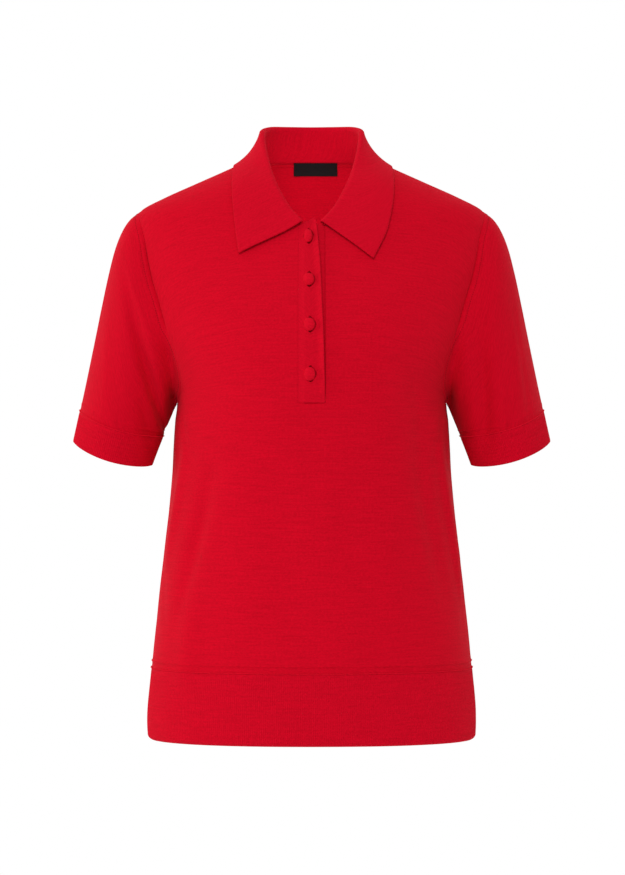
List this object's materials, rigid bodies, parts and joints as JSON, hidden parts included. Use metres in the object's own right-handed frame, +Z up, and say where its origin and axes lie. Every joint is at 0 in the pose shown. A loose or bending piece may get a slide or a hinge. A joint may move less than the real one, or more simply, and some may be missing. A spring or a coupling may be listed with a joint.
{
  "type": "polo shirt",
  "caption": "Women's fine-knit short-sleeved polo shirt with a fold-down collar, buttoned placket and ribbed bands, hollow as when worn.",
  "frame": {"origin": "midway between the two points where shoulder seam meets neck, where the wearer's shoulders hold the garment", "axes": "+Z up, -Y to the wearer's front, +X to the wearer's left"},
  "size_m": [0.4908, 0.2534, 0.6321],
  "materials": {
    "fine_knit": "matt red fine-gauge wool jersey",
    "rib_knit": "matt red one-by-one wool rib",
    "collar_knit": "matt red full-needle wool knit",
    "placket_knit": "matt red close wool knit",
    "covered_button": "red jersey drawn over a button",
    "woven_label": "bare black damask ribbon"
  },
  "bodies": {
    "root": {"front": "fine_knit", "back": "fine_knit", "sleeve_right": "fine_knit", "sleeve_left": "fine_knit", "cuff_right": "rib_knit", "cuff_left": "rib_knit", "hem_front": "rib_knit", "hem_back": "rib_knit", "collar": "collar_knit", "placket_upper": "placket_knit", "placket_under": "placket_knit", "button_1": "covered_button", "button_2": "covered_button", "button_3": "covered_button", "button_4": "covered_button", "neck_label": "woven_label"}
  },
  "joints": []
}
